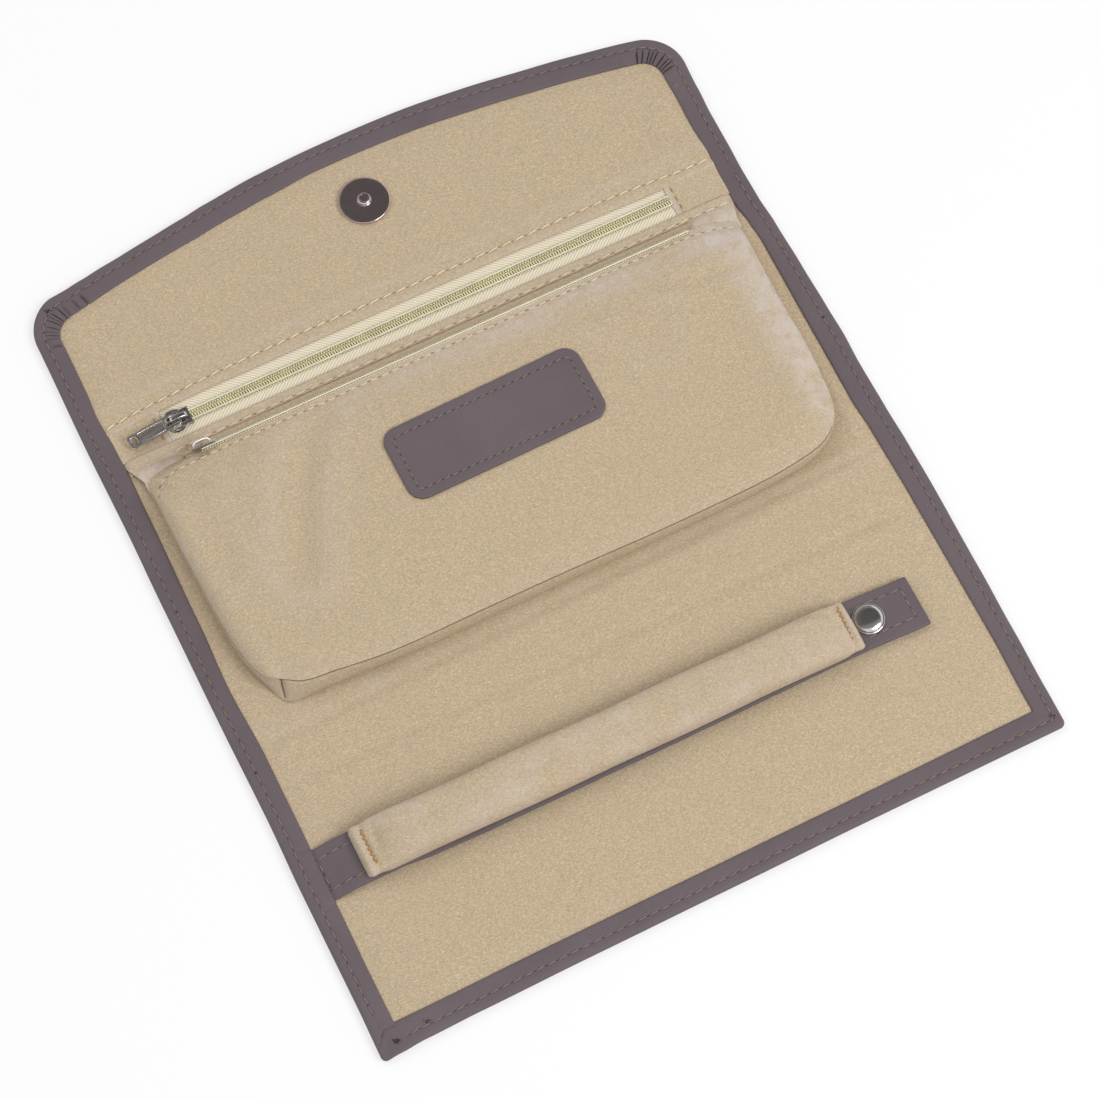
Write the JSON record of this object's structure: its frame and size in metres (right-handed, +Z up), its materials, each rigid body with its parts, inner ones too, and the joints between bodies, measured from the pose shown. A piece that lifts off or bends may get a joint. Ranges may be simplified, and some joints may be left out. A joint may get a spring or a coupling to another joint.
{
  "type": "jewelry roll",
  "caption": "Open jewelry roll: leather folder lined with velour, with a zip pocket, a zip pouch under a bare name patch, and a snap strap carrying a padded ring roll.",
  "frame": {"origin": "under the middle of the open folder, on the surface that it lies on", "axes": "+X across the folder, to the right with the flap at the top; +Y along the folder towards the flap with the magnet; +Z up, out of the lining"},
  "size_m": [0.25, 0.3046, 0.0151],
  "materials": {
    "leather": "grained, satin",
    "velour": "short pile, matt",
    "interlining": "bonded fibre board",
    "tape": "woven twill",
    "coil": "moulded filament",
    "nickel": "polished plating",
    "steel": "plain",
    "wadding": "fibre filling"
  },
  "bodies": {
    "middle": {"cover_middle": "leather", "interlining_middle": "interlining", "lining_middle": "velour"},
    "lower_spine": {"cover_lower_spine": "leather", "interlining_lower_spine": "interlining", "lining_lower_spine": "velour"},
    "lower_panel": {"cover_lower_panel": "leather", "interlining_lower_panel": "interlining", "lining_lower_panel": "velour", "magnet_female_case": "nickel", "magnet_female_magnet": "steel", "snap_post": "steel", "snap_stud": "nickel", "ring_strap_root": "leather"},
    "ring_strap": {"ring_strap": "leather", "ring_roll_cover": "velour", "ring_roll_filling": "wadding", "snap_cap": "nickel", "snap_socket": "nickel"},
    "upper_spine": {"cover_upper_spine": "leather", "pocket_lining": "tape", "lining_upper_spine": "velour", "zip_strip": "velour", "upper_zip_tape_upper": "tape", "upper_zip_tape_lower": "tape", "upper_zip_coil_upper": "coil", "upper_zip_coil_lower": "coil", "upper_zip_tab_left": "velour", "upper_zip_tab_right": "velour"},
    "flap": {"cover_flap": "leather", "interlining_flap": "interlining", "lining_flap": "velour", "magnet_male_plate": "nickel", "magnet_male_washer": "steel"},
    "pouch": {"pouch_front": "velour", "pouch_back": "velour", "name_patch": "leather", "lower_zip_tape_upper": "tape", "lower_zip_tape_lower": "tape", "lower_zip_coil_upper": "coil", "lower_zip_coil_lower": "coil", "lower_zip_tab_left": "velour", "lower_zip_tab_right": "velour"},
    "upper_slider": {"upper_zip_slider": "nickel"},
    "upper_pull": {"upper_zip_pull": "nickel"},
    "lower_slider": {"lower_zip_slider": "nickel"},
    "lower_pull": {"lower_zip_pull": "nickel"}
  },
  "joints": [
    {"name": "lower_spine_fold", "type": "hinge", "parent": "middle", "child": "lower_spine", "pos_m": [0, -0.0373, 0.0036], "axis": [-1, 0, 0], "range_deg": [0, 90]},
    {"name": "lower_panel_fold", "type": "hinge", "parent": "lower_spine", "child": "lower_panel", "pos_m": [0, -0.0603, 0.0036], "axis": [-1, 0, 0], "range_deg": [0, 90]},
    {"name": "upper_spine_fold", "type": "hinge", "parent": "middle", "child": "upper_spine", "pos_m": [0, 0.0657, 0.0036], "axis": [1, 0, 0], "range_deg": [0, 90]},
    {"name": "flap_fold", "type": "hinge", "parent": "upper_spine", "child": "flap", "pos_m": [0, 0.0932, 0.0036], "axis": [1, 0, 0], "range_deg": [0, 90]},
    {"name": "pouch_lift", "type": "hinge", "parent": "middle", "child": "pouch", "pos_m": [0, 0.0649, 0.0033], "axis": [1, 0, 0], "range_deg": [-85, 0]},
    {"name": "ring_strap_lift", "type": "hinge", "parent": "lower_panel", "child": "ring_strap", "pos_m": [-0.11225, -0.0915, 0.0059], "axis": [0, 1, 0], "range_deg": [-90, 0]},
    {"name": "upper_zip_slide", "type": "slide", "parent": "upper_spine", "child": "upper_slider", "axis": [1, 0, 0], "range_m": [0, 0.18], "deforming": ["upper_zip_coil_upper", "upper_zip_coil_lower"]},
    {"name": "upper_zip_pull_swing", "type": "hinge", "parent": "upper_slider", "child": "upper_pull", "pos_m": [-0.092, 0.0776, 0.005], "axis": [0, 1, 0], "range_deg": [0, 180]},
    {"name": "lower_zip_slide", "type": "slide", "parent": "pouch", "child": "lower_slider", "axis": [1, 0, 0], "range_m": [0, 0.176], "deforming": ["lower_zip_coil_upper", "lower_zip_coil_lower"]},
    {"name": "lower_zip_pull_swing", "type": "hinge", "parent": "lower_slider", "child": "lower_pull", "pos_m": [-0.0895, 0.0637, 0.0094], "axis": [0, 0.5, -0.866], "range_deg": [0, 180]}
  ],
  "couplings": [
    {"joint": "lower_panel_fold", "follows": "lower_spine_fold", "ratio": 1},
    {"joint": "flap_fold", "follows": "upper_spine_fold", "ratio": 1}
  ]
}
